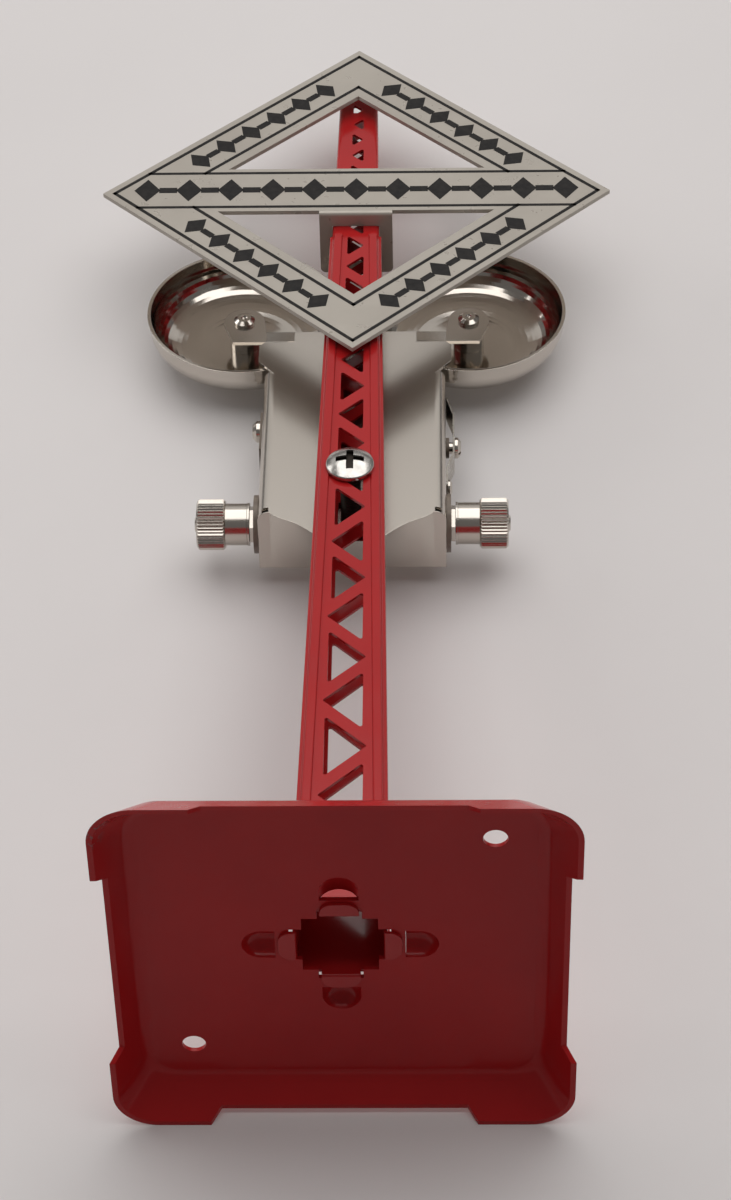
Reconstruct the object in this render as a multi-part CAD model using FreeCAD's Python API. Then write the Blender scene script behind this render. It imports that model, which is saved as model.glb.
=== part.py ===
"""Model railway crossing signal: pressed base, lattice mast, diamond sign and a twin-gong bell.

Millimetres. +Z runs up the mast, -Y is the front (the sign's face), +X is the right-hand side
seen from the front. The origin is the middle of the plane that the base's four feet stand on.
"""
import FreeCAD, Part
import math
import os

V = FreeCAD.Vector
UP = V(0, 0, 1)
BACK = V(0, 1, 0)
RIGHT = V(1, 0, 0)
ORIGIN = V(0, 0, 0)

# Fits
face_gap = 0.03            # two fixed pieces that lie against each other
hole_gap = 0.05            # fixed shank in its hole, radius
running_gap = 0.05         # turning shank in its hole, radius
past = 1.0                 # how far a cutter runs past the face it opens

# Base: pressed tray standing on four corner feet
base_height = 6.5
base_foot_half = 34.9
base_slant = 4.6           # how far each side leans in from the feet to the top
base_sheet = 0.7
base_top_fillet = 3.2
base_corner_radius = 6.8
base_corner_taper = 0.6    # how much smaller the corner radius is at the top
foot_length = 14.6         # from the base's corner to the raised rim
foot_rise = 2.05           # how far the rim between the feet is raised
foot_gap_slope = 1.6       # how much shorter the raised rim is at its top
mounting_hole_inset = 7.7
mounting_hole_radius = 1.8
opening_ledge = 1.3        # how far the base reaches in under the mast's walls
slot_half_width = 3.3
slot_out = 0.6             # how far the tongues' slots pass the mast's walls
bridge_gap = 0.5           # from the tip of a tongue to its lanced bridge
bridge_length = 2.0
bridge_radius = 3.5
bridge_proud = 2.0
bridge_sheet = 0.5

# Mast: square tapered lattice tube with four tongues
mast_top = 219.0
mast_foot_width = 13.83
mast_top_width = 6.97
mast_sheet = 0.5
mast_edge_radius = 0.7
apex_inset = 2.8           # side strip left beside the point of each triangle
strip_beside_foot = 3.55   # side strip left beside the flat side of each triangle
strip_top = 2.65
strut_drop = 2.65          # mast width minus the pitch of the triangles
first_hole = 29.8
last_hole_down = 7.0       # from the mast's top to where the triangles end
hole_fillet = 0.3
rib_inset = 1.15
rib_width = 1.5
rib_proud = 0.35
rib_bottom = 11.0
tongue_width = 5.8
tongue_out = 2.2           # how far a tongue reaches past the mast's wall

# Screw that holds the bell on the mast
screw_down = 113.0         # from the mast's top down to the screw
screw_radius = 1.75
screw_head_radius = 4.0
screw_head_height = 1.9
screw_head_edge = 0.6
screw_head_round = 0.3
screw_pitch = 0.8
thread_depth = 0.32
recess_length = 4.7
recess_width = 1.2
recess_depth = 1.35
screw_nut_flats = 6.0
screw_nut_height = 1.7
screw_tail = 4.2           # how far the screw runs past the panel's front

# Diamond sign
sign_down = 38.9           # from the mast's top down to the sign's middle
sign_sheet = 0.8
sign_half_height = 44.9
sign_half_width = 46.0
sign_band = 14.95          # height of the sloping bands, measured straight up
bar_drop = 5.6             # edges of the level bar below and above the sign's middle
bar_rise = 7.1
sign_stand_off = 3.05      # from the mast's front to the sign's face
collar_wider = 2.49        # how far the collar stands out past the mast's sides
collar_deeper = 2.14       # how far the collar stands out past the mast's back
collar_round = 1.0

# Bell frame: panel, side walls and end wall folded from one sheet
frame_sheet = 0.5
frame_half_width = 16.0
frame_depth = 12.4
frame_bend = 1.9
frame_height = 38.9        # top of the side walls above the mast screw
frame_end_rise = 1.0       # rear edge of the end wall above the screw
ogee_drop = 6.0            # lowest point of the end wall's curved front edge below the screw
ogee_rise = 1.3            # highest point of that edge above the screw
ogee_flat_half = 4.2
ogee_inset = 2.1           # from the side wall to the curve's end
ogee_steps = [(0, 0), (1.4, 0.16), (4.0, 0.34), (6.2, 0.56)]   # (in from the end, share of the fall)
ogee_bends = [(1.2, 0.84), (0, 0.95)]   # (out from the flat middle, share of the fall)
slant_share = 1.15         # sheet thickness of the sloping end wall, measured upwards
relief_size = 1.1
relief_lift = 0.2
panel_rise = 10.9          # panel's top above the side walls
panel_step_inset = 5.1     # from the side wall to where each arm leaves the panel
ear_rise = 8.0             # ears' top and foot above the side walls
ear_foot_rise = 1.5
ear_out = 1.1
ear_corner = 1.0
arm_sheet = 0.7
arm_height = 2.7
arm_root = 1.2             # length of the arm's root on the panel
arm_set_back = 3.42        # from the panel's front to the tab that carries a gong
tab_half_width = 3.7
tab_drop = 5.8             # from the gong's middle to the tab's lower edge
tab_root_out = 0.4
tab_foot_out = 1.9
tab_shoulder = 0.6

# Gongs
gong_radius = 17.5
gong_half_gap = 2.8        # from the middle plane to each gong's rim
gong_body_gap = 0.6        # from the side walls' top to the gongs' lowest point
gong_set_back = 0.32       # from the panel's back to the gongs' rims
gong_depth = 8.6
gong_wall_depth = 1.8
gong_shoulder = 9.4        # how far the rounded shoulder reaches in from the wall
gong_draft = 0.25
gong_sheet = 0.6
shoulder_steps = 14
post_radius = 2.75
post_lip = 0.8
post_taper = 0.85          # radius at the lip as a share of the post's radius
post_shank_radius = 1.3
rivet_head_radius = 1.9
rivet_head_height = 1.0
rivet_crown = 0.63         # radius on top of a head as a share of the head's radius
dimple_radius = 0.7
dimple_out = 0.35

# Rear cover
cover_sheet = 0.5
cover_rise = 2.4           # cover's lower edge above the screw
cover_front = 1.0          # from the panel's back to the lid's front edge
cover_slot_half = 2.4
cover_slot_depth = 4.4

# Electromagnet
magnet_set_back = 6.2      # from the panel's front to the coils' axes
coil_rises = {"lower": 11.0, "upper": 22.6}
coil_radius = 4.7
flange_radius = 5.0
flange_thick = 0.8
bobbin_tube = 2.6
core_radius = 2.0
core_stem = 0.3
stem_share = 0.8
coil_wall_gap = 5.0        # from the left wall to the coils
pole_gap = 0.8             # from the coils' right-hand ends to the armature
pole_proud = 0.4
yoke_thick = 1.6
yoke_inset = 0.6
yoke_over = 4.0            # yoke's top above the upper coil's axis
magnet_strip = 1.5
magnet_rise = 3.4          # bottom of the magnet's floor above the screw
magnet_half_depth = 4.6
lug_thick = 0.8
lug_half_width = 1.5
lug_rise = 8.0
foot_plate = 0.8
foot_half_width = 4.0
foot_drop = 2.8            # lowest point of the magnet's foot below the screw
lead_radius = 0.25
lead_bend = 1.0
lead_inset = 0.5           # from the bobbin flange's rear edge to the lead
lead_reach = 0.8           # end of each lead from the terminal's axis

# Armature and clapper
pivot_wall_gap = 6.8       # from the right wall to the armature's pivot
pivot_rise = 6.4
pin_radius = 0.7
pin_proud = 0.3
armature_thick = 2.0
armature_half_depth = 3.6
armature_rise = 27.6
leaf_thick = 0.3
leaf_half_width = 2.0
leaf_low_rise = 13.0
leaf_high_rise = 28.4
spring_rise = 12.5
spring_bump_down = 1.0
spring_bump_in = 0.05
rod_set_back = 2.4         # from the gongs' rims to the rod and ball
rod_radius = 0.5
rod_socket = 4.0
rod_clear = 0.2            # from the socket's floor to the rod's end
rod_out = 2.2              # straight run of the rod above the armature
rod_upright_down = 2.5     # from the side walls' top to where the rod stands upright
rod_bend = 3.0
ball_play = 1.05           # from the ball to each gong at rest
ball_bore_share = 0.4      # how high in the ball the rod ends, as a share of its radius

# Contact on the right-hand wall
strip_sheet = 0.3
strip_half_width = 2.4
strip_low_rise = 12.6
strip_foot = 4.4
strip_bulge_low_rise = 21.2
strip_bulge_high_rise = 31.2
strip_high_rise = 35.8
strip_bulge_out = 1.2
contact_rise = 24.9
contact_play = 0.42        # from the leaf to the contact screw's tip
contact_shank = 1.0
contact_point = 0.6
contact_head_radius = 1.85
contact_head_height = 1.1
contact_slot_half = 0.25
contact_slot_depth = 0.45
bush_radius = 1.8
bush_flange_radius = 2.6
bush_flange = 0.4
small_rivet_radius = 1.4
small_rivet_shank = 0.8
small_rivet_height = 0.7
small_rivet_drop = 0.4
small_rivet_tail = 0.5

# Rivet and insulating strip on the left-hand wall
left_rivet_rise = 29.6
left_rivet_radius = 1.9
left_rivet_head = 1.4
left_strip_low_rise = 22.0
left_strip_high_rise = 31.8
left_strip_sheet = 0.5
left_strip_half_width = 2.6

# Terminals
terminal_set_back = 6.7
terminal_rise = 5.8
stud_radius = 1.5
stud_in = 3.3              # how far the stud reaches inside the wall
stud_out = 11.0            # how far the stud reaches outside the wall
stud_chamfer = 0.3
washer_radius = 5.0
washer_thick = 0.8
sleeve_radius = 2.3
sleeve_overlap = 0.1
inner_washer_radius = 3.4
hex_flats = 5.6
hex_thick = 0.7
inner_hex_thick = 1.8
loose_washer_radius = 3.7
loose_washer_thick = 0.35
collar_radius = 3.6
collar_length = 3.7
knurl_radius = 4.35
knurl_depth = 0.28
knurl_length = 4.9
knurl_teeth = 44
knurl_edge = 0.4


def mast_width(z):
    """Outside width of the mast at height z."""
    share = (z - base_height) / (mast_top - base_height)
    return mast_foot_width + share * (mast_top_width - mast_foot_width)


def strip_width(z):
    """Width of the side strip beside a triangle's flat side at height z."""
    share = (z - base_height) / (mast_top - base_height)
    return strip_beside_foot + share * (strip_top - strip_beside_foot)


# Heights and depths that follow from the sizes above
plate_under = base_height - base_sheet
base_top_half = base_foot_half - base_slant
foot_gap_half = base_foot_half - foot_length
mounting_hole_offset = base_top_half - mounting_hole_inset
base_opening_half = mast_foot_width / 2 - opening_ledge
slot_reach = mast_foot_width / 2 + slot_out
tongue_reach = mast_foot_width / 2 + tongue_out
bridge_start = tongue_reach + bridge_gap

sign_middle = mast_top - sign_down
bar_low = sign_middle - bar_drop
bar_high = sign_middle + bar_rise
sign_mast_half = mast_width(sign_middle) / 2
sign_front = -(sign_mast_half + sign_stand_off)
collar_low = bar_low - sign_sheet
collar_half_width = sign_mast_half + collar_wider
collar_back = sign_mast_half + collar_deeper
rib_top = collar_low - 2 * rib_width

screw_height = mast_top - screw_down
head_seat = -(mast_width(screw_height - screw_head_radius) / 2 + rib_proud + face_gap)
ogee_low = screw_height - ogee_drop
ogee_high = screw_height + ogee_rise
ogee_half_width = frame_half_width - ogee_inset
panel_front = mast_width(ogee_low) / 2 + rib_proud + face_gap
panel_back = panel_front + frame_sheet
frame_back = panel_front + frame_depth
frame_end = screw_height + frame_end_rise
frame_body_top = screw_height + frame_height
wall_inner = frame_half_width - frame_sheet
panel_top = frame_body_top + panel_rise
panel_step = frame_half_width - panel_step_inset
ear_top = frame_body_top + ear_rise
ear_low = frame_body_top + ear_foot_rise
ear_half_width = frame_half_width + ear_out

gong_centre = gong_radius + gong_half_gap
gong_height = frame_body_top + gong_radius + gong_body_gap
gong_rim = panel_back + gong_set_back
arm_back = panel_front + arm_set_back

magnet_depth = panel_front + magnet_set_back
magnet_floor = screw_height + magnet_rise
coil_heights = {name: screw_height + rise for name, rise in coil_rises.items()}
coil_left = coil_wall_gap - wall_inner
pivot_x = wall_inner - pivot_wall_gap
pivot_z = screw_height + pivot_rise
coil_right = pivot_x - armature_thick / 2 - pole_gap
armature_top = screw_height + armature_rise
leaf_left = pivot_x + armature_thick / 2 + face_gap
clapper_depth = gong_rim + rod_set_back
ball_radius = gong_half_gap - ball_play

contact_height = screw_height + contact_rise
contact_tip = leaf_left + leaf_thick + contact_play
strip_low = screw_height + strip_low_rise
rivet_height = strip_low + strip_foot / 2 - small_rivet_drop
left_rivet_height = screw_height + left_rivet_rise

terminal_depth = panel_front + terminal_set_back
terminal_height = screw_height + terminal_rise
washer_out = frame_half_width + face_gap
hex_out = washer_out + washer_thick + face_gap
loose_out = hex_out + hex_thick + running_gap
nut_out = loose_out + loose_washer_thick + running_gap


# Helpers

def box(x0, x1, y0, y1, z0, z1):
    """Box between two corners."""
    return Part.makeBox(x1 - x0, y1 - y0, z1 - z0, V(x0, y0, z0))


def rod(radius, start, end):
    """Cylinder from one point to another."""
    direction = end.sub(start)
    return Part.makeCylinder(radius, direction.Length, start, direction)


def prism(points, direction):
    """Closed outline pushed along a vector."""
    wire = Part.makePolygon([V(*point) for point in points + points[:1]])
    return Part.Face(wire).extrude(direction)


def mirrored(shape):
    """Copy on the other side of the middle plane."""
    return shape.mirror(ORIGIN, RIGHT)


def turned(shape, quarter):
    """Copy turned about the mast by quarters of a turn."""
    copy = shape.copy()
    copy.rotate(ORIGIN, UP, 90 * quarter)
    return copy


def fused(shapes):
    """Union without seams between flush faces."""
    return shapes[0].multiFuse(shapes[1:]).removeSplitter()


def edges_along(shape, direction, keep):
    """Straight edges parallel to a direction whose middle passes the test."""
    found = []
    for edge in shape.Edges:
        along = edge.Vertexes[-1].Point.sub(edge.Vertexes[0].Point)
        if along.Length < 1e-6 or along.cross(direction).Length > 0.05 * along.Length:
            continue
        if keep(edge.BoundBox.Center):
            found.append(edge)
    return found


def spun(points, start, direction):
    """Solid of revolution from (distance along the axis, radius) points."""
    side = direction.cross(UP if abs(direction.z) < 0.9 else RIGHT)
    side.normalize()
    places = [start.add(direction * along).add(side * radius) for along, radius in points]
    face = Part.Face(Part.makePolygon(places + places[:1]))
    return face.revolve(start, direction, 360)


def rounded_square(half, radius, z):
    """Square wire with rounded corners in a level plane."""
    face = Part.Face(Part.makePolygon([
        V(-half, -half, z), V(half, -half, z), V(half, half, z), V(-half, half, z), V(-half, -half, z)]))
    block = face.extrude(UP)
    block = block.makeFillet(radius, edges_along(block, UP, lambda middle: True))
    lowest = [part for part in block.Faces if part.BoundBox.ZMax < z + 1e-6]
    return lowest[0].OuterWire


def hexagon(flats, start, end):
    """Hexagonal bar with the given width across flats, two flats level."""
    direction = end.sub(start)
    axis = V(direction)
    axis.normalize()
    side = UP.cross(axis)
    radius = flats / math.sqrt(3)
    corners = []
    for step in range(7):
        angle = math.radians(60 * step)
        corners.append(start.add(side * (radius * math.cos(angle))).add(UP * (radius * math.sin(angle))))
    return Part.Face(Part.makePolygon(corners)).extrude(direction)


def threaded(radius, depth, pitch, start, direction, length):
    """Round bar with ridges of a screw thread along its whole length."""
    points = [(0, 0), (0, radius - depth)]
    turns = int(length / pitch)
    for turn in range(turns):
        points.append(((turn + 0.5) * pitch, radius))
        points.append(((turn + 1) * pitch, radius - depth))
    points.append((length, radius - depth))
    points.append((length, 0))
    return spun(points, start, direction)


def wire_run(points, bend, radius):
    """Round wire along straight runs joined by arcs."""
    edges = []
    last = points[0]
    for before, corner, after in zip(points, points[1:], points[2:]):
        inward = before.sub(corner).normalize()
        onward = after.sub(corner).normalize()
        half = inward.getAngle(onward) / 2
        reach = bend / math.tan(half)
        middle = inward.add(onward).normalize() * (bend / math.sin(half) - bend)
        first = corner.add(inward * reach)
        second = corner.add(onward * reach)
        edges.append(Part.LineSegment(last, first).toShape())
        edges.append(Part.Arc(first, corner.add(middle), second).toShape())
        last = second
    edges.append(Part.LineSegment(last, points[-1]).toShape())
    start_edge = points[1].sub(points[0])
    profile = Part.Wire(Part.makeCircle(radius, points[0], start_edge))
    return Part.Wire(edges).makePipeShell([profile], True, False)


# Base

def tray(half_foot, half_top, height, corner, fillet):
    """Solid block with sloping sides and a rounded upper edge."""
    low = rounded_square(half_foot, corner, 0)
    high = rounded_square(half_top, corner - base_corner_taper, height)
    block = Part.makeLoft([low, high], True, True)
    rim = [edge for edge in block.Edges if edge.BoundBox.ZMin > height - 1e-6]
    return block.makeFillet(fillet, rim)


def foot_gap():
    """Block that raises the rim between two feet, right across the base."""
    narrow = foot_gap_half - foot_gap_slope
    deep = -past
    reach = base_foot_half + past
    points = [(-foot_gap_half, -reach, deep), (foot_gap_half, -reach, deep), (foot_gap_half, -reach, 0),
              (narrow, -reach, foot_rise), (-narrow, -reach, foot_rise), (-foot_gap_half, -reach, 0)]
    return prism(points, V(0, 2 * reach, 0))


def bridge(radius, start, sink):
    """Half-round bump with a rounded end, pointing along +X."""
    axis_height = base_height + bridge_proud - bridge_radius
    end = V(bridge_start + bridge_length, 0, axis_height)
    body = rod(radius, V(start, 0, axis_height), end).fuse(Part.makeSphere(radius, end))
    reach = 3 * bridge_radius
    keep = box(start, start + 2 * reach, -reach, reach, sink, base_height + reach)
    return body.common(keep)


def make_base():
    thick = base_sheet * math.hypot(base_slant, base_height) / base_height
    outer = tray(base_foot_half, base_top_half, base_height, base_corner_radius, base_top_fillet)
    slope = base_slant / base_height
    inner = tray(base_foot_half - thick, base_top_half - thick + slope * base_sheet, plate_under,
                 base_corner_radius - thick, base_top_fillet - base_sheet)
    body = outer.cut(inner)
    cuts = [foot_gap(), turned(foot_gap(), 1)]
    cuts.append(box(-base_opening_half, base_opening_half, -base_opening_half, base_opening_half,
                    plate_under - past, base_height + past))
    for quarter in range(4):
        slot = box(0, slot_reach, -slot_half_width, slot_half_width, plate_under - past, base_height + past)
        cuts.append(turned(slot, quarter))
    for side in (-1, 1):
        place = V(side * mounting_hole_offset, -side * mounting_hole_offset, plate_under - past)
        cuts.append(Part.makeCylinder(mounting_hole_radius, base_sheet + 2 * past, place, UP))
    body = body.cut(cuts)
    bumps = [turned(bridge(bridge_radius, bridge_start, plate_under), quarter) for quarter in range(4)]
    hollows = [turned(bridge(bridge_radius - bridge_sheet, bridge_start - face_gap, 0), quarter)
               for quarter in range(4)]
    return fused([body] + bumps).cut(hollows)


# Mast

def mast_block(inset):
    """Tapered square block, its sides moved in by an amount."""
    wires = []
    for z in (base_height, mast_top):
        half = mast_width(z) / 2 - inset
        corners = [V(-half, -half, z), V(half, -half, z), V(half, half, z), V(-half, half, z), V(-half, -half, z)]
        wires.append(Part.makePolygon(corners))
    return Part.makeLoft(wires, True, True)


def triangle(z, side):
    """Cutter for one triangular hole in the front wall, its point on the given side."""
    half = mast_width(z) / 2
    tip = half - apex_inset
    flat = half - strip_width(z)
    rise = tip + flat
    front = -half - past
    points = [(side * tip, front, z), (-side * flat, front, z - rise), (-side * flat, front, z + rise)]
    cutter = prism(points, V(0, 2 * past, 0))
    return cutter.makeFillet(min(hole_fillet, rise / 6), edges_along(cutter, BACK, lambda middle: True))


def lattice_cutters():
    """All the triangles of the front wall, pointing left and right in turn."""
    cutters = []
    z = first_hole
    side = -1
    while z < mast_top - last_hole_down:
        cutters.append(triangle(z, side))
        z += mast_width(z) - strut_drop
        side = -side
    return cutters


def rib(side):
    """Raised rib that stiffens one side strip of the front wall."""
    wires = []
    for z in (rib_bottom, rib_top):
        half = mast_width(z) / 2
        middle = side * (half - rib_inset)
        near = -half - rib_proud
        far = -half + mast_sheet / 2
        wires.append(Part.makePolygon([
            V(middle - rib_width / 2, near, z), V(middle + rib_width / 2, near, z),
            V(middle + rib_width / 2, far, z), V(middle - rib_width / 2, far, z),
            V(middle - rib_width / 2, near, z)]))
    bar = Part.makeLoft(wires, True, True)
    outer = edges_along(bar, UP, lambda middle: middle.y < -mast_width(middle.z) / 2)
    bar = bar.makeFillet(rib_proud * 0.8, outer)
    half = mast_width(rib_top) / 2
    end = rod(rib_width / 2, V(side * (half - rib_inset), -half - rib_proud, rib_top),
              V(side * (half - rib_inset), -half + mast_sheet / 2, rib_top))
    return bar.fuse(end)


def tongue():
    """Strip that leaves the right wall, passes the base and is bent outwards under it."""
    inner = mast_foot_width / 2 - mast_sheet
    low = plate_under - mast_sheet
    leg = box(inner, inner + mast_sheet, -tongue_width / 2, tongue_width / 2, low, base_height)
    sole = box(inner, tongue_reach, -tongue_width / 2, tongue_width / 2, low, plate_under)
    bent = leg.fuse(sole).removeSplitter()
    heel = edges_along(bent, BACK, lambda middle: middle.x < inner + 1e-3 and middle.z < low + 1e-3)
    bent = bent.makeFillet(mast_sheet, heel)
    tip = edges_along(bent, UP, lambda middle: middle.x > tongue_reach - 1e-3)
    return bent.makeFillet(tongue_width / 3, tip)


def make_mast():
    outer = mast_block(0)
    corners = edges_along(outer, UP, lambda middle: True)
    outer = outer.makeFillet(mast_edge_radius, corners)
    body = outer.cut(mast_block(mast_sheet))
    ribs = [turned(rib(side), quarter) for quarter in range(4) for side in (-1, 1)]
    tongues = [turned(tongue(), quarter) for quarter in range(4)]
    body = body.multiFuse(ribs + tongues)
    holes = [turned(cutter, quarter) for quarter in range(4) for cutter in lattice_cutters()]
    reach = mast_foot_width
    holes.append(rod(screw_radius + hole_gap, V(0, -reach, screw_height), V(0, reach, screw_height)))
    return body.cut(holes)


# Mast screw

def make_mast_screw():
    rise = screw_head_height - screw_head_edge
    sphere_radius = (screw_head_radius ** 2 + rise ** 2) / (2 * rise)
    head = rod(screw_head_radius, V(0, head_seat - screw_head_height, screw_height),
               V(0, head_seat, screw_height))
    crown = Part.makeSphere(sphere_radius, V(0, head_seat - screw_head_height + sphere_radius, screw_height))
    head = head.common(crown)
    head = head.makeFillet(screw_head_round, [edge for edge in head.Edges
                                 if edge.Curve.TypeId == "Part::GeomCircle"
                                 and abs(edge.BoundBox.YMin - head_seat) > face_gap])
    top = head_seat - screw_head_height
    cross = []
    for length, width in ((recess_length, recess_width), (recess_width, recess_length)):
        cross.append(box(-length / 2, length / 2, top - past, top + recess_depth,
                         screw_height - width / 2, screw_height + width / 2))
    shank = threaded(screw_radius, thread_depth, screw_pitch, V(0, head_seat, screw_height), BACK,
                     panel_front + screw_tail - head_seat)
    return head.fuse(shank).cut(cross)


def make_mast_screw_nut():
    start = panel_back + face_gap + foot_plate
    nut = hexagon(screw_nut_flats, V(0, start, screw_height), V(0, start + screw_nut_height, screw_height))
    bore = rod(screw_radius + face_gap, V(0, start - past, screw_height),
               V(0, start + screw_nut_height + past, screw_height))
    return nut.cut(bore)


# Sign

def diamond(half_height):
    """Diamond block of the sign's sheet with the sign's slopes."""
    half_width = half_height * sign_half_width / sign_half_height
    points = [(0, sign_front, sign_middle + half_height), (half_width, sign_front, sign_middle),
              (0, sign_front, sign_middle - half_height), (-half_width, sign_front, sign_middle)]
    return prism(points, V(0, sign_sheet, 0))


def make_sign():
    wide = sign_half_width
    bar = box(-wide, wide, sign_front, sign_front + sign_sheet, bar_low, bar_high)
    window = diamond(sign_half_height - sign_band).cut(bar)
    plate = diamond(sign_half_height).cut(window)
    collar = box(-collar_half_width, collar_half_width, sign_front, collar_back, collar_low, bar_low)
    corners = edges_along(collar, UP, lambda middle: middle.y > 0)
    collar = collar.makeFillet(collar_round, corners)
    body = plate.fuse(collar).removeSplitter()
    fold = edges_along(body, RIGHT, lambda middle: middle.z < collar_low + 1e-3 and middle.y < sign_front + 1e-3)
    body = body.makeFillet(sign_sheet * 0.9, fold)
    half = mast_width(collar_low) / 2 + face_gap
    return body.cut(box(-half, half, -half, half, collar_low - past, bar_low + past))


# Bell frame

def ogee_edge(lift, y):
    """Curved front edge of the end wall, from left to right."""
    high = ogee_high + lift
    fall = ogee_high - ogee_low
    places = [(inward - ogee_half_width, high - share * fall) for inward, share in ogee_steps]
    places += [(-ogee_flat_half - outward, high - share * fall) for outward, share in ogee_bends]
    places += [(0, high - fall)] + [(-x, z) for x, z in reversed(places)]
    curve = Part.BSplineCurve()
    curve.interpolate([V(x, y, z) for x, z in places])
    return curve.toShape()


def above_end_wall(lift):
    """Everything above the ruled end wall, between the panel's plane and the rear edge."""
    ceiling = panel_top + past
    wide = frame_half_width + ear_out + past
    curve = ogee_edge(lift, panel_front)
    high = ogee_high + lift
    corners = [V(ogee_half_width, panel_front, high), V(wide, panel_front, high), V(wide, panel_front, ceiling),
               V(-wide, panel_front, ceiling), V(-wide, panel_front, high), V(-ogee_half_width, panel_front, high)]
    front = Part.Wire([curve] + list(Part.makePolygon(corners).Edges))
    low = frame_end + lift
    half = ogee_half_width
    rear = Part.makePolygon([
        V(-half, frame_back, low), V(half, frame_back, low), V(wide, frame_back, low), V(wide, frame_back, ceiling),
        V(-wide, frame_back, ceiling), V(-wide, frame_back, low), V(-half, frame_back, low)])
    return Part.makeLoft([front, rear], True, True)


def case_block(inset, top, back):
    """Upright block with rounded front edges, inside or outside the sheet."""
    half = frame_half_width - inset
    block = box(-half, half, panel_front + inset, back, ogee_low - past, top)
    front = edges_along(block, UP, lambda middle: middle.y < panel_front + inset + past)
    return block.makeFillet(frame_bend - inset, front)


def panel_head():
    """Flat upper end of the panel with its two ears."""
    inner = ear_half_width - ear_corner
    half = [(0, panel_top), (panel_step, panel_top), (panel_step, ear_top), (inner, ear_top),
            (ear_half_width, ear_top - ear_corner), (ear_half_width, ear_low + ear_corner), (inner, ear_low),
            (frame_half_width - frame_bend, frame_body_top - ear_corner)]
    outline = half + [(-x, z) for x, z in reversed(half[1:])]
    return prism([(x, panel_front, z) for x, z in outline], V(0, frame_sheet, 0))


def arm():
    """Right-hand arm: a strip that slants out of the panel, ending in a round-topped tab."""
    tab_low = gong_height - tab_drop
    tab_root = gong_centre - tab_half_width - tab_root_out
    strip = []
    for x, y, low in ((panel_step - arm_root, panel_front, panel_top - arm_height),
                      (tab_root, arm_back, tab_low)):
        strip.append(Part.makePolygon([
            V(x, y, low), V(x, y + arm_sheet, low), V(x, y + arm_sheet, low + arm_height),
            V(x, y, low + arm_height), V(x, y, low)]))
    slant = Part.makeLoft(strip, True, True)
    outer = gong_centre + tab_half_width
    points = [(tab_root, arm_back, tab_low), (gong_centre + tab_foot_out, arm_back, tab_low),
              (outer, arm_back, gong_height - tab_shoulder), (outer, arm_back, gong_height),
              (gong_centre - tab_half_width, arm_back, gong_height),
              (tab_root, arm_back, tab_low + arm_height)]
    tab = prism(points, V(0, arm_sheet, 0))
    crown = rod(tab_half_width, V(gong_centre, arm_back, gong_height),
                V(gong_centre, arm_back + arm_sheet, gong_height))
    whole = slant.multiFuse([tab, crown])
    hole = rod(post_shank_radius + hole_gap, V(gong_centre, arm_back - past, gong_height),
               V(gong_centre, arm_back + arm_sheet + past, gong_height))
    return whole.cut(hole)


def make_bell_frame():
    body = case_block(0, frame_body_top, frame_back).common(above_end_wall(0))
    hollow = case_block(frame_sheet, frame_body_top + past, frame_back + past)
    lift = frame_sheet * slant_share
    wide = frame_half_width + past
    room = above_end_wall(lift)
    room = room.fuse(box(-wide, wide, frame_back, frame_back + 2 * past, frame_end + lift, panel_top))
    shell = body.cut(hollow.common(room))
    right_arm = arm()
    whole = shell.multiFuse([panel_head(), right_arm, mirrored(right_arm)])
    cuts = [rod(screw_radius + hole_gap, V(0, panel_front - past, screw_height),
                V(0, panel_back + past, screw_height))]
    for side in (-1, 1):
        cuts.append(rod(sleeve_radius + hole_gap, V(side * (wall_inner - past), terminal_depth, terminal_height),
                        V(side * wide, terminal_depth, terminal_height)))
        corner = side * (frame_half_width - frame_bend + relief_size / 2)
        notch_low = ogee_high + relief_lift
        cuts.append(box(corner - relief_size / 2, corner + relief_size / 2, panel_front - past, panel_back + past,
                        notch_low, notch_low + relief_size))
    for side, radius, z in ((1, bush_radius, contact_height), (1, small_rivet_shank, rivet_height),
                            (-1, small_rivet_shank, left_rivet_height)):
        cuts.append(rod(radius + hole_gap, V(side * (wall_inner - past), magnet_depth, z),
                        V(side * wide, magnet_depth, z)))
    return whole.cut(cuts)


def make_case_back():
    half = wall_inner - face_gap
    front = panel_back + cover_front
    lid_under = frame_body_top - cover_sheet
    plate = box(-half, half, frame_back - cover_sheet, frame_back, screw_height + cover_rise, frame_body_top)
    lid = box(-half, half, front, frame_back, lid_under, frame_body_top)
    slot = box(-cover_slot_half, cover_slot_half, front - past, front + cover_slot_depth,
               lid_under - past, frame_body_top + past)
    return plate.fuse(lid).removeSplitter().cut(slot)


# Gongs

def gong_profile(inset):
    """Half section of the bowl as (distance behind the rim, radius), inside or outside."""
    rounding = gong_depth - gong_wall_depth - inset
    wall_end = gong_radius - gong_draft
    points = [(0, 0), (0, gong_radius - inset), (gong_wall_depth, wall_end - inset)]
    for step in range(1, shoulder_steps + 1):
        angle = math.radians(90 * step / shoulder_steps)
        points.append((gong_wall_depth + rounding * math.sin(angle),
                       wall_end - gong_shoulder + (gong_shoulder - inset) * math.cos(angle)))
    points.append((gong_depth - inset, 0))
    return points


def make_gong():
    start = V(gong_centre, gong_rim, gong_height)
    bowl = spun(gong_profile(0), start, BACK).cut(spun(gong_profile(gong_sheet), start, BACK))
    hole = rod(post_shank_radius + hole_gap, start, V(gong_centre, gong_rim + gong_depth + past, gong_height))
    return bowl.cut(hole)


def peened_head(seat, radius, height):
    """Half section of a peened head from its seat to its crown; a negative height points forwards."""
    return [(seat, radius), (seat + height / 2, radius), (seat + height, radius * rivet_crown), (seat + height, 0)]


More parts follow.
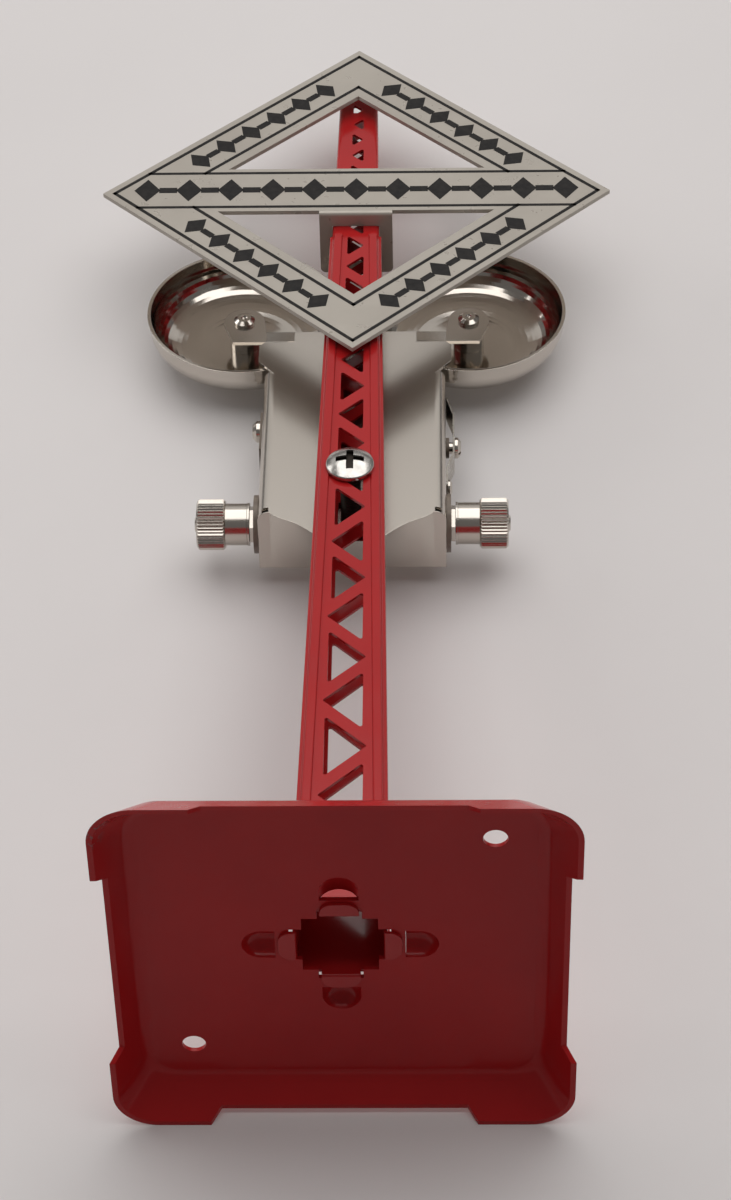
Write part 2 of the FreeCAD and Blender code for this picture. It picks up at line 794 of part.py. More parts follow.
def make_gong_post():
    """Shouldered post: peened head in front of the tab, collar, peened head behind the gong."""
    front = arm_back - face_gap
    collar_front = arm_back + arm_sheet + face_gap
    collar_end = gong_rim + gong_depth - gong_sheet - face_gap
    gong_back = gong_rim + gong_depth + face_gap
    points = list(reversed(peened_head(front, rivet_head_radius, -rivet_head_height)))
    points += [(front, post_shank_radius), (collar_front, post_shank_radius),
               (collar_front, post_radius * post_taper), (collar_front + post_lip, post_radius),
               (collar_end, post_radius), (collar_end, post_shank_radius), (gong_back, post_shank_radius)]
    points += peened_head(gong_back, rivet_head_radius, rivet_head_height)
    post = spun(points, V(gong_centre, 0, gong_height), BACK)
    dimple = Part.makeSphere(dimple_radius, V(gong_centre, front - rivet_head_height - dimple_out, gong_height))
    return post.cut(dimple)


# Electromagnet

def make_magnet_frame():
    left = coil_left - yoke_thick
    right = pivot_x + lug_half_width
    front = magnet_depth - magnet_half_depth
    back = magnet_depth + magnet_half_depth
    floor_top = magnet_floor + magnet_strip
    yoke_top = coil_heights["upper"] + yoke_over
    pieces = [box(left, right, front, back, magnet_floor, floor_top)]
    pieces.append(box(left, coil_left, front + yoke_inset, back - yoke_inset, magnet_floor, yoke_top))
    for near in (front, back - lug_thick):
        pieces.append(box(pivot_x - lug_half_width, right, near, near + lug_thick, magnet_floor,
                          screw_height + lug_rise))
    foot_front = panel_back + face_gap
    pieces.append(box(-foot_half_width, foot_half_width, foot_front, front + magnet_strip, magnet_floor, floor_top))
    pieces.append(box(-foot_half_width, foot_half_width, foot_front, foot_front + foot_plate,
                      screw_height - foot_drop, floor_top))
    cuts = [rod(pin_radius + face_gap, V(pivot_x, front - past, pivot_z), V(pivot_x, back + past, pivot_z))]
    cuts.append(rod(screw_radius + hole_gap, V(0, foot_front - past, screw_height),
                    V(0, foot_front + foot_plate + past, screw_height)))
    for z in coil_heights.values():
        cuts.append(rod(core_radius + face_gap, V(left - past, magnet_depth, z),
                        V(coil_left + past, magnet_depth, z)))
    return fused(pieces).cut(cuts)


def make_core(z):
    left = coil_left - yoke_thick
    core = rod(core_radius, V(left, magnet_depth, z), V(coil_right + pole_proud, magnet_depth, z))
    stem = rod(core_radius * stem_share, V(left - core_stem, magnet_depth, z), V(left, magnet_depth, z))
    return core.fuse(stem)


def make_bobbin(z):
    left = coil_left + face_gap
    tube = rod(bobbin_tube, V(left, magnet_depth, z), V(coil_right, magnet_depth, z))
    ends = [rod(flange_radius, V(x, magnet_depth, z), V(x + flange_thick, magnet_depth, z))
            for x in (left, coil_right - flange_thick)]
    bore = rod(core_radius + hole_gap, V(left - past, magnet_depth, z), V(coil_right + past, magnet_depth, z))
    return fused([tube] + ends).cut(bore)


def make_winding(z):
    left = coil_left + 2 * face_gap + flange_thick
    right = coil_right - flange_thick - face_gap
    body = rod(coil_radius, V(left, magnet_depth, z), V(right, magnet_depth, z))
    bore = rod(bobbin_tube + face_gap, V(left - past, magnet_depth, z), V(right + past, magnet_depth, z))
    return body.cut(bore)


def make_lead_wires():
    """Two leads from the lower bobbin's flanges, one to each terminal's inner nut."""
    low = coil_heights["lower"]
    back = magnet_depth + flange_radius - lead_inset
    nut_top = terminal_height + hex_flats / 2 + lead_radius + face_gap
    wires = []
    for side, flange in ((-1, coil_left), (1, coil_right)):
        end = side * (wall_inner - stud_in / 2)
        path = [V(flange + side * face_gap, back, low), V(end, back, low),
                V(end, terminal_depth + lead_reach, nut_top)]
        wires.append(wire_run(path, lead_bend, lead_radius))
    return Part.makeCompound(wires)


# Armature and clapper

def make_armature():
    left = pivot_x - armature_thick / 2
    front = magnet_depth - armature_half_depth
    back = magnet_depth + armature_half_depth
    bar = box(left, left + armature_thick, front, back, pivot_z, armature_top)
    knuckle = rod(armature_thick / 2, V(pivot_x, front, pivot_z), V(pivot_x, back, pivot_z))
    body = bar.fuse(knuckle).removeSplitter()
    pin_hole = rod(pin_radius + running_gap, V(pivot_x, front - past, pivot_z), V(pivot_x, back + past, pivot_z))
    rod_hole = rod(rod_radius + face_gap, V(pivot_x, clapper_depth, armature_top - rod_socket),
                   V(pivot_x, clapper_depth, armature_top + past))
    return body.cut([pin_hole, rod_hole])


def make_armature_pin():
    reach = magnet_half_depth + pin_proud
    return rod(pin_radius, V(pivot_x, magnet_depth - reach, pivot_z), V(pivot_x, magnet_depth + reach, pivot_z))


def make_contact_leaf():
    """Springy contact on the armature's right-hand face."""
    return box(leaf_left, leaf_left + leaf_thick, magnet_depth - leaf_half_width, magnet_depth + leaf_half_width,
               screw_height + leaf_low_rise, screw_height + leaf_high_rise)


def make_return_spring():
    left = pivot_x + lug_half_width + face_gap
    front = magnet_depth - leaf_half_width
    back = magnet_depth + leaf_half_width
    top = screw_height + spring_rise
    strip = box(left, left + leaf_thick, front, back, magnet_floor, top)
    bump_x = left + spring_bump_in
    bump = rod(leaf_thick, V(bump_x, front, top - spring_bump_down), V(bump_x, back, top - spring_bump_down))
    return strip.fuse(bump)


def make_clapper_rod():
    start = V(pivot_x, clapper_depth, armature_top - rod_socket + rod_clear)
    turn_out = V(pivot_x, clapper_depth, armature_top + rod_out)
    turn_up = V(0, clapper_depth, frame_body_top - rod_upright_down)
    end = V(0, clapper_depth, gong_height - ball_radius * ball_bore_share)
    return wire_run([start, turn_out, turn_up, end], rod_bend, rod_radius)


def make_clapper_ball():
    ball = Part.makeSphere(ball_radius, V(0, clapper_depth, gong_height))
    hole = rod(rod_radius + face_gap, V(0, clapper_depth, gong_height - ball_radius - past),
               V(0, clapper_depth, gong_height - ball_radius * ball_bore_share + face_gap))
    return ball.cut(hole)


# Contact on the right-hand wall

def make_contact_strip():
    near = frame_half_width + face_gap
    out = near + strip_bulge_out
    outline = [(near, strip_low), (near, strip_low + strip_foot), (out, screw_height + strip_bulge_low_rise),
               (out, screw_height + strip_bulge_high_rise), (near, screw_height + strip_high_rise)]
    points = outline + [(x + strip_sheet, z) for x, z in reversed(outline)]
    strip = prism([(x, magnet_depth - strip_half_width, z) for x, z in points], V(0, 2 * strip_half_width, 0))
    holes = [rod(radius + hole_gap, V(wall_inner, magnet_depth, z), V(out + past, magnet_depth, z))
             for radius, z in ((contact_shank, contact_height), (small_rivet_shank, rivet_height))]
    return strip.cut(holes)


def make_contact_screw():
    seat = frame_half_width + strip_bulge_out + strip_sheet + 2 * face_gap
    points = [(contact_tip, 0), (contact_tip, contact_shank / 2), (contact_tip + contact_point, contact_shank),
              (seat, contact_shank)]
    points += peened_head(seat, contact_head_radius, contact_head_height)
    screw = spun(points, V(0, magnet_depth, contact_height), RIGHT)
    top = seat + contact_head_height
    slot = box(top - contact_slot_depth, top + past, magnet_depth - contact_slot_half,
               magnet_depth + contact_slot_half, contact_height - contact_head_radius - past,
               contact_height + contact_head_radius + past)
    return screw.cut(slot)


def make_contact_bush():
    """Insulating bush that carries the contact screw through the wall."""
    inside = wall_inner - face_gap
    outside = frame_half_width + strip_bulge_out / 2
    body = rod(bush_radius, V(inside, magnet_depth, contact_height), V(outside, magnet_depth, contact_height))
    flange = rod(bush_flange_radius, V(inside - bush_flange, magnet_depth, contact_height),
                 V(inside, magnet_depth, contact_height))
    bore = rod(contact_shank + running_gap, V(inside - past, magnet_depth, contact_height),
               V(outside + past, magnet_depth, contact_height))
    return body.fuse(flange).cut(bore)


def wall_rivet(head_radius, head_height, seat, z):
    """Rivet through the right-hand wall, its head on the outside."""
    inner = wall_inner - face_gap
    tail = small_rivet_shank / rivet_crown
    points = list(reversed(peened_head(inner, tail, -small_rivet_tail)))
    points += [(inner, small_rivet_shank), (seat, small_rivet_shank)]
    points += peened_head(seat, head_radius, head_height)
    return spun(points, V(0, magnet_depth, z), RIGHT)


def make_contact_rivet():
    seat = frame_half_width + strip_sheet + 2 * face_gap
    return wall_rivet(small_rivet_radius, small_rivet_height, seat, rivet_height)


def make_left_rivet():
    seat = frame_half_width + left_strip_sheet + 2 * face_gap
    return mirrored(wall_rivet(left_rivet_radius, left_rivet_head, seat, left_rivet_height))


def make_left_insulator():
    outer = -(frame_half_width + face_gap)
    strip = box(outer - left_strip_sheet, outer, magnet_depth - left_strip_half_width,
                magnet_depth + left_strip_half_width, screw_height + left_strip_low_rise,
                screw_height + left_strip_high_rise)
    hole = rod(small_rivet_shank + hole_gap, V(outer - left_strip_sheet - past, magnet_depth, left_rivet_height),
               V(outer + past, magnet_depth, left_rivet_height))
    return strip.cut(hole)


# Terminals: each function makes the right-hand piece

def axis_point(x):
    """Point on the right-hand terminal's axis."""
    return V(x, terminal_depth, terminal_height)


def ring(outer, inner, start, end):
    """Flat ring on the terminal's axis."""
    bore = rod(inner, axis_point(start - past), axis_point(end + past))
    return rod(outer, axis_point(start), axis_point(end)).cut(bore)


def terminal_stud():
    stud = rod(stud_radius, axis_point(wall_inner - stud_in), axis_point(frame_half_width + stud_out))
    rims = [edge for edge in stud.Edges if edge.Curve.TypeId == "Part::GeomCircle"]
    return stud.makeChamfer(stud_chamfer, rims)


def outer_insulator():
    sleeve = rod(sleeve_radius, axis_point(wall_inner), axis_point(washer_out + sleeve_overlap))
    flange = rod(washer_radius, axis_point(washer_out), axis_point(washer_out + washer_thick))
    bore = rod(stud_radius + hole_gap, axis_point(wall_inner - past), axis_point(hex_out))
    return sleeve.fuse(flange).cut(bore)


def inner_insulator():
    end = wall_inner - face_gap
    return ring(inner_washer_radius, stud_radius + hole_gap, end - washer_thick, end)


def hex_nut(start, thick):
    bore = rod(stud_radius + face_gap, axis_point(start - past), axis_point(start + thick + past))
    return hexagon(hex_flats, axis_point(start), axis_point(start + thick)).cut(bore)


def terminal_hex_nuts():
    inner_start = wall_inner - washer_thick - 2 * face_gap - inner_hex_thick
    return [hex_nut(hex_out, hex_thick), hex_nut(inner_start, inner_hex_thick)]


def thumb_nut():
    knurl_start = nut_out + collar_length
    collar = rod(collar_radius, axis_point(nut_out), axis_point(knurl_start))
    points = []
    for step in range(2 * knurl_teeth):
        angle = math.pi * step / knurl_teeth
        radius = knurl_radius - knurl_depth * (step % 2)
        points.append((knurl_start, terminal_depth + radius * math.cos(angle),
                       terminal_height + radius * math.sin(angle)))
    knurl = prism(points, V(knurl_length, 0, 0))
    low = knurl_radius - knurl_edge
    knurl_end = knurl_start + knurl_length
    envelope = spun([(knurl_start, 0), (knurl_start, low), (knurl_start + knurl_edge, knurl_radius),
                     (knurl_end - knurl_edge, knurl_radius), (knurl_end, low), (knurl_end, 0)],
                    axis_point(0), RIGHT)
    bore = rod(stud_radius + running_gap, axis_point(nut_out - past), axis_point(knurl_end + past))
    return collar.fuse(knurl.common(envelope)).cut(bore)


def both_sides(shapes):
    """Pieces of both terminals as one group of separate solids."""
    return Part.makeCompound(shapes + [mirrored(shape) for shape in shapes])


def make_parts():
    """Every piece by name."""
    parts = {
        "base_plate": make_base(),
        "mast": make_mast(),
        "mast_screw": make_mast_screw(),
        "mast_screw_nut": make_mast_screw_nut(),
        "sign_plate": make_sign(),
        "bell_frame": make_bell_frame(),
        "case_back": make_case_back(),
        "magnet_frame": make_magnet_frame(),
        "lead_wires": make_lead_wires(),
        "armature": make_armature(),
        "armature_pin": make_armature_pin(),
        "contact_leaf": make_contact_leaf(),
        "return_spring": make_return_spring(),
        "clapper_rod": make_clapper_rod(),
        "clapper_ball": make_clapper_ball(),
        "contact_strip": make_contact_strip(),
        "contact_screw": make_contact_screw(),
        "contact_bush": make_contact_bush(),
        "contact_rivet": make_contact_rivet(),
        "left_rivet": make_left_rivet(),
        "left_insulator": make_left_insulator(),
        "terminal_insulators": both_sides([outer_insulator(), inner_insulator()]),
        "terminal_hex_nuts": both_sides(terminal_hex_nuts()),
    }
    for level, z in coil_heights.items():
        parts[level + "_core"] = make_core(z)
        parts[level + "_bobbin"] = make_bobbin(z)
        parts[level + "_winding"] = make_winding(z)
    pairs = {
        "gong": make_gong(),
        "gong_post": make_gong_post(),
        "terminal_stud": terminal_stud(),
        "loose_washer": ring(loose_washer_radius, stud_radius + running_gap, loose_out,
                             loose_out + loose_washer_thick),
        "thumb_nut": thumb_nut(),
    }
    for name, shape in pairs.items():
        parts["right_" + name] = shape
        parts["left_" + name] = mirrored(shape)
    return parts


os.makedirs("parts", exist_ok=True)
for name, shape in make_parts().items():
    if not shape.isValid() or shape.Volume <= 0:
        raise ValueError(name + " is not a valid solid")
    shape.exportStep("parts/" + name + ".step")
    print(name, len(shape.Solids), round(shape.Volume, 2))
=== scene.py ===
"""Looks of the model railway crossing signal: enamel, nickel, printed sign and a pale studio.

Metres, in the model's own frame: +Z up the mast, -Y the front, origin under the base.
"""

import math

import bmesh
import bpy
from mathutils import Matrix, Vector


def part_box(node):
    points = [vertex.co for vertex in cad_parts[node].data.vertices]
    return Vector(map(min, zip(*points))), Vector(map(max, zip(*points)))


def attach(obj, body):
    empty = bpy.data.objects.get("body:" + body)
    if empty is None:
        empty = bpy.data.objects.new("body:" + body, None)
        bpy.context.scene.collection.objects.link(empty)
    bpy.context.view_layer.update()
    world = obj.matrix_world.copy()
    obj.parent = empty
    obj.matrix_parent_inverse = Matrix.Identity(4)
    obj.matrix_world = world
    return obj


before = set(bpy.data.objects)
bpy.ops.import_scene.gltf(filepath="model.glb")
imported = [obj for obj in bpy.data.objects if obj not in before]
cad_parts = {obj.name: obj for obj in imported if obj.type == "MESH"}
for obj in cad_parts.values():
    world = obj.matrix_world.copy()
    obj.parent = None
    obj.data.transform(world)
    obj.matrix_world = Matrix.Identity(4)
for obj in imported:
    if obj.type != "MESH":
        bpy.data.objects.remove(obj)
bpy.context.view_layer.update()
MM = 0.001


# Node helpers

class Shader:
    """A material whose nodes are added by short calls."""

    def __init__(self, name):
        self.material = bpy.data.materials.new(name)
        self.material.use_nodes = True
        self.nodes = self.material.node_tree.nodes
        self.links = self.material.node_tree.links
        self.surface = self.nodes["Principled BSDF"]
        self.place = self.add("ShaderNodeTexCoord").outputs["Object"]

    def add(self, kind, **settings):
        node = self.nodes.new(kind)
        for key, value in settings.items():
            setattr(node, key, value)
        return node

    def set(self, **values):
        """Uniform numbers and colours on the shader's own sockets."""
        for key, value in values.items():
            self.surface.inputs[key.replace("_", " ")].default_value = value

    def noise(self, per_metre, detail=3.0, stretch=(1, 1, 1), roughness=0.55):
        """Noise between 0 and 1 with a size in features per metre."""
        scaled = self.add("ShaderNodeMapping")
        scaled.inputs["Scale"].default_value = stretch
        self.links.new(self.place, scaled.inputs["Vector"])
        node = self.add("ShaderNodeTexNoise")
        node.inputs["Scale"].default_value = per_metre
        node.inputs["Detail"].default_value = detail
        node.inputs["Roughness"].default_value = roughness
        self.links.new(scaled.outputs["Vector"], node.inputs["Vector"])
        return node.outputs["Fac"]

    def ramp(self, value, low, high, low_to=0.0, high_to=1.0):
        """Values from low to high spread over low_to to high_to, and held outside."""
        node = self.add("ShaderNodeMapRange")
        node.inputs["From Min"].default_value = low
        node.inputs["From Max"].default_value = high
        node.inputs["To Min"].default_value = low_to
        node.inputs["To Max"].default_value = high_to
        self.links.new(value, node.inputs["Value"])
        return node.outputs["Result"]

    def math(self, operation, first, second=None):
        node = self.add("ShaderNodeMath", operation=operation)
        for slot, value in enumerate((first, second)):
            if value is None:
                continue
            if isinstance(value, (int, float)):
                node.inputs[slot].default_value = value
            else:
                self.links.new(value, node.inputs[slot])
        return node.outputs["Value"]

    def blend(self, share, first, second):
        """Colour between two colours, each a tuple or a socket."""
        node = self.add("ShaderNodeMix", data_type="RGBA")
        self.links.new(share, node.inputs["Factor"])
        for name, value in (("A", first), ("B", second)):
            socket = [s for s in node.inputs if s.name == name and s.type == "RGBA"][0]
            if isinstance(value, tuple):
                socket.default_value = (*value, 1)
            else:
                self.links.new(value, socket)
        return [s for s in node.outputs if s.type == "RGBA"][0]

    def axis(self, letter):
        node = self.add("ShaderNodeSeparateXYZ")
        self.links.new(self.place, node.inputs["Vector"])
        return node.outputs[letter]

    def link(self, value, socket):
        self.links.new(value, self.surface.inputs[socket])

    def relief(self, height, depth, strength=1.0, edge=None):
        """Bump from a height between 0 and 1 that stands for a real depth."""
        node = self.add("ShaderNodeBump")
        node.inputs["Distance"].default_value = depth
        node.inputs["Strength"].default_value = strength
        self.links.new(height, node.inputs["Height"])
        if edge:
            soft = self.add("ShaderNodeBevel", samples=4)
            soft.inputs["Radius"].default_value = edge
            self.links.new(soft.outputs["Normal"], node.inputs["Normal"])
        self.link(node.outputs["Normal"], "Normal")


# Materials

RED = (0.40, 0.012, 0.013)
RED_DEEP = (0.31, 0.008, 0.010)
BARE_METAL = (0.12, 0.10, 0.10)
CHIP_TOP = 2.4 * MM        # no chips above this height
CHIP_FULL = 0.4 * CHIP_TOP
CHIP_X = (0.86, 0.97)      # shares of the way out to the corner where chips begin and are full
CHIP_Y = (0.72, 0.90)


def worn_corner(s, corner):
    """Mask of small chips low on the base's corner at (x, y)."""
    patch = s.ramp(s.noise(520, 4, roughness=0.65), 0.55, 0.57)
    low = s.ramp(s.axis("Z"), CHIP_FULL, CHIP_TOP, 1.0, 0.0)
    near_x = s.ramp(s.axis("X"), *(corner[0] * share for share in CHIP_X))
    near_y = s.ramp(s.axis("Y"), *(corner[1] * share for share in CHIP_Y))
    return s.math("MULTIPLY", s.math("MULTIPLY", patch, low), s.math("MULTIPLY", near_x, near_y))


def red_enamel(name, shine, chipped=None):
    """Stoved enamel with a share of clear coat. Chipped is the corner whose low edge shows bare metal."""
    s = Shader(name)
    tone = s.ramp(s.noise(60, 3), 0.35, 0.65)
    colour = s.blend(s.math("MULTIPLY", tone, 0.4), RED, RED_DEEP)
    specks = s.ramp(s.noise(2600, 2), 0.70, 0.78)
    colour = s.blend(s.math("MULTIPLY", specks, 0.25), colour, RED_DEEP)
    rough = s.ramp(s.noise(240, 4), 0.3, 0.7, 0.13, 0.20)
    if chipped:
        chip = worn_corner(s, chipped)
        colour = s.blend(chip, colour, BARE_METAL)
        rough = s.math("ADD", rough, s.math("MULTIPLY", chip, 0.3))
    s.link(colour, "Base Color")
    s.link(rough, "Roughness")
    s.set(Specular_IOR_Level=0.15 + 0.35 * shine, Coat_Weight=0.4 * shine, Coat_Roughness=0.06)
    s.relief(s.noise(480, 3), 0.03 * MM, 0.3, edge=0.14 * MM)
    return s.material


NICKEL = (0.60, 0.555, 0.50)
NICKEL_DULL = (0.43, 0.39, 0.345)


def nickel(name, rough_low=0.16, rough_high=0.30, grain=(1, 1, 14), tint=NICKEL, dull=NICKEL_DULL, edge=0.12):
    """Nickel plate with faint rolling marks along one axis, haze and fine pits."""
    s = Shader(name)
    cloud = s.ramp(s.noise(45, 4), 0.3, 0.75)
    colour = s.blend(s.math("MULTIPLY", cloud, 0.22), tint, dull)
    pits = s.ramp(s.noise(1500, 2), 0.73, 0.78)
    colour = s.blend(s.math("MULTIPLY", pits, 0.4), colour, dull)
    lines = s.noise(900, 3, stretch=grain)
    rough = s.ramp(s.math("ADD", s.math("MULTIPLY", cloud, 0.35), s.math("MULTIPLY", lines, 0.65)),
                   0.2, 0.8, rough_low, rough_high)
    s.link(colour, "Base Color")
    s.link(rough, "Roughness")
    s.set(Metallic=1.0)
    s.relief(lines, 0.012 * MM, 0.25, edge=edge * MM)
    return s.material


SIGN_WHITE = (0.44, 0.405, 0.355)
SIGN_SHADE = (0.395, 0.36, 0.315)


def sign_enamel():
    """Satin off-white printing on tinplate, slightly mottled."""
    s = Shader("sign_enamel")
    tone = s.ramp(s.noise(60, 4), 0.35, 0.65)
    colour = s.blend(tone, SIGN_WHITE, SIGN_SHADE)
    s.link(colour, "Base Color")
    s.link(s.ramp(s.noise(400, 3), 0.3, 0.7, 0.26, 0.38), "Roughness")
    s.set(Metallic=0.25)
    s.relief(s.noise(1300, 2), 0.01 * MM, 0.3, edge=0.1 * MM)
    return s.material


def plain_metal(name, colour, darker, rough):
    """Uncoated metal with a cast of oxide."""
    s = Shader(name)
    tone = s.ramp(s.noise(300, 4), 0.35, 0.65)
    s.link(s.blend(tone, colour, darker), "Base Color")
    s.link(s.ramp(s.noise(700, 3), 0.3, 0.7, rough, rough + 0.15), "Roughness")
    s.set(Metallic=1.0)
    s.relief(s.noise(2500, 2), 0.01 * MM, 0.3, edge=0.06 * MM)
    return s.material


ZINC = (0.58, 0.56, 0.53)
ZINC_DULL = (0.47, 0.45, 0.42)
THREAD = (0.20, 0.18, 0.16)
THREAD_DARK = (0.10, 0.09, 0.08)
# Near-black painted shade with dirt for the screw head's cross recess
RECESS_SHADE_DIRT = (0.05, 0.042, 0.036)
HEAD_BACK = 1.95 * MM      # depths behind the front of the head
THREAD_FRONT = 2.1 * MM
HEAD_CURVE = 13.6 * MM     # twice the radius of the head's dome
RECESS_REACH = 2.5 * MM
SHADE_DIRT_BEGINS = 0.06 * MM    # depths under the dome where the painted shade and dirt begin and are full
SHADE_DIRT_FULL = 0.45 * MM


def recess_shade_and_dirt(s, crown, centre):
    """Mask of painted shade and dirt in the cross recess: points clearly behind the dome with its front at y
    = crown and z = centre.
    """
    up = s.math("SUBTRACT", s.axis("Z"), centre)
    radius_squared = s.math("ADD", s.math("POWER", s.axis("X"), 2), s.math("POWER", up, 2))
    dome = s.math("DIVIDE", radius_squared, HEAD_CURVE)
    behind = s.math("SUBTRACT", s.math("SUBTRACT", s.axis("Y"), crown), dome)
    deep = s.ramp(behind, SHADE_DIRT_BEGINS, SHADE_DIRT_FULL)
    inside = s.ramp(radius_squared, RECESS_REACH ** 2, (1.1 * RECESS_REACH) ** 2, 1.0, 0.0)
    return s.math("MULTIPLY", deep, inside)


def screw_metal():
    """Bright zinc head with painted shade and dirt in its recess, on a darker thread."""
    s = Shader("screw_zinc")
    low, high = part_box("mast_screw")
    head = s.ramp(s.axis("Y"), low.y + HEAD_BACK, low.y + THREAD_FRONT)
    tone = s.ramp(s.noise(600, 4), 0.4, 0.7)
    bright = s.blend(tone, ZINC, ZINC_DULL)
    dark = s.blend(tone, THREAD, THREAD_DARK)
    # Painted shade and dirt: the cross recess is darkened towards near black.
    shade_and_dirt = recess_shade_and_dirt(s, low.y, (low.z + high.z) / 2)
    colour = s.blend(shade_and_dirt, s.blend(head, bright, dark), RECESS_SHADE_DIRT)
    s.link(colour, "Base Color")
    worn = s.ramp(s.noise(900, 3), 0.3, 0.7, 0.16, 0.30)
    s.link(s.math("ADD", worn, s.math("MULTIPLY", shade_and_dirt, 0.35)), "Roughness")
    s.set(Metallic=1.0)
    s.relief(s.noise(2200, 2), 0.01 * MM, 0.3, edge=0.1 * MM)
    return s.material


def fibre(name, colour, darker, rough=0.5):
    """Pressed insulating board."""
    s = Shader(name)
    tone = s.ramp(s.noise(900, 4), 0.35, 0.65)
    s.link(s.blend(tone, colour, darker), "Base Color")
    s.link(s.ramp(s.noise(1500, 3), 0.3, 0.7, rough, rough + 0.15), "Roughness")
    s.relief(s.noise(3000, 3), 0.02 * MM, 0.4)
    return s.material


COPPER = (0.52, 0.17, 0.06)
COPPER_DARK = (0.36, 0.10, 0.04)
WIRE_PITCH = 0.32 * MM


def copper_wire():
    """Close turns of enamelled wire round an axis along X."""
    s = Shader("copper_wire")
    turns = s.math("SINE", s.math("MULTIPLY", s.axis("X"), 2 * math.pi / WIRE_PITCH))
    height = s.ramp(turns, -1, 1)
    tone = s.ramp(s.noise(500, 3), 0.4, 0.6)
    s.link(s.blend(tone, COPPER, COPPER_DARK), "Base Color")
    s.link(s.ramp(height, 0, 1, 0.5, 0.28), "Roughness")
    s.set(Metallic=0.8)
    s.relief(height, 0.12 * MM, 0.8)
    return s.material


INK = (0.007, 0.006, 0.006)
INK_WORN = (0.014, 0.012, 0.011)


def print_ink():
    """Near-black printing ink."""
    s = Shader("print_ink")
    tone = s.ramp(s.noise(800, 3), 0.4, 0.65)
    s.link(s.blend(tone, INK, INK_WORN), "Base Color")
    s.link(s.ramp(s.noise(1500, 2), 0.3, 0.7, 0.5, 0.62), "Roughness")
    s.set(Specular_IOR_Level=0.25)
    s.relief(s.noise(3000, 2), 0.005 * MM, 0.3)
    return s.material


CARD = (0.69, 0.665, 0.66)
CARD_SHADE = (0.67, 0.645, 0.64)


def stage_paper(name):
    """Pale matt card that only its front side shows; from behind it is clear."""
    s = Shader(name)
    tone = s.ramp(s.noise(9, 4), 0.35, 0.65)
    s.link(s.blend(tone, CARD, CARD_SHADE), "Base Color")
    s.link(s.ramp(s.noise(300, 2), 0, 1, 0.55, 0.7), "Roughness")
    clear = s.add("ShaderNodeBsdfTransparent")
    mix = s.add("ShaderNodeMixShader")
    s.links.new(s.add("ShaderNodeNewGeometry").outputs["Backfacing"], mix.inputs["Fac"])
    s.links.new(s.surface.outputs["BSDF"], mix.inputs[1])
    s.links.new(clear.outputs["BSDF"], mix.inputs[2])
    s.links.new(mix.outputs["Shader"], s.nodes["Material Output"].inputs["Surface"])
    return s.material


def paint(material, *nodes):
    """Gives CAD nodes a material, all slots alike."""
    for name in nodes:
        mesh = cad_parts[name].data
        mesh.materials.clear()
        mesh.materials.append(material)


def paint_all():
    front_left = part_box("base_plate")[0]
    paint(red_enamel("red_enamel_base", 0.1, (front_left.x, front_left.y)), "base_plate")
    paint(red_enamel("red_enamel_mast", 0.35), "mast")
    paint(sign_enamel(), "sign_plate")
    paint(nickel("nickel_sheet", 0.19, 0.25, (14, 1, 1)), "bell_frame", "case_back")
    paint(nickel("nickel_gong", 0.07, 0.16, (1, 1, 1), edge=0.2), "left_gong", "right_gong")
    paint(nickel("nickel_turned", 0.14, 0.26, (14, 1, 1), edge=0.08),
          "left_thumb_nut", "right_thumb_nut", "left_loose_washer", "right_loose_washer",
          "terminal_hex_nuts", "left_terminal_stud", "right_terminal_stud")
    paint(nickel("nickel_rivet", 0.12, 0.24, (1, 1, 1), edge=0.1),
          "left_gong_post", "right_gong_post", "left_rivet", "contact_rivet",
          "contact_screw", "mast_screw_nut")
    paint(screw_metal(), "mast_screw")
    paint(plain_metal("soft_iron", (0.42, 0.40, 0.38), (0.28, 0.26, 0.24), 0.35),
          "magnet_frame", "upper_core", "lower_core", "armature", "armature_pin")
    paint(plain_metal("spring_strip", (0.50, 0.48, 0.44), (0.34, 0.31, 0.27), 0.22),
          "contact_strip", "contact_leaf", "return_spring", "clapper_rod")
    paint(plain_metal("brass", (0.72, 0.52, 0.22), (0.55, 0.37, 0.14), 0.25), "clapper_ball")
    paint(copper_wire(), "upper_winding", "lower_winding")
    paint(fibre("bobbin_fibre", (0.22, 0.08, 0.04), (0.14, 0.05, 0.03)), "upper_bobbin", "lower_bobbin")
    paint(fibre("brown_insulator", (0.19, 0.155, 0.12), (0.13, 0.10, 0.08)),
          "terminal_insulators", "contact_bush", "left_insulator")
    paint(fibre("wire_sleeve", (0.03, 0.03, 0.03), (0.015, 0.015, 0.015), 0.7), "lead_wires")


# Printing on the sign

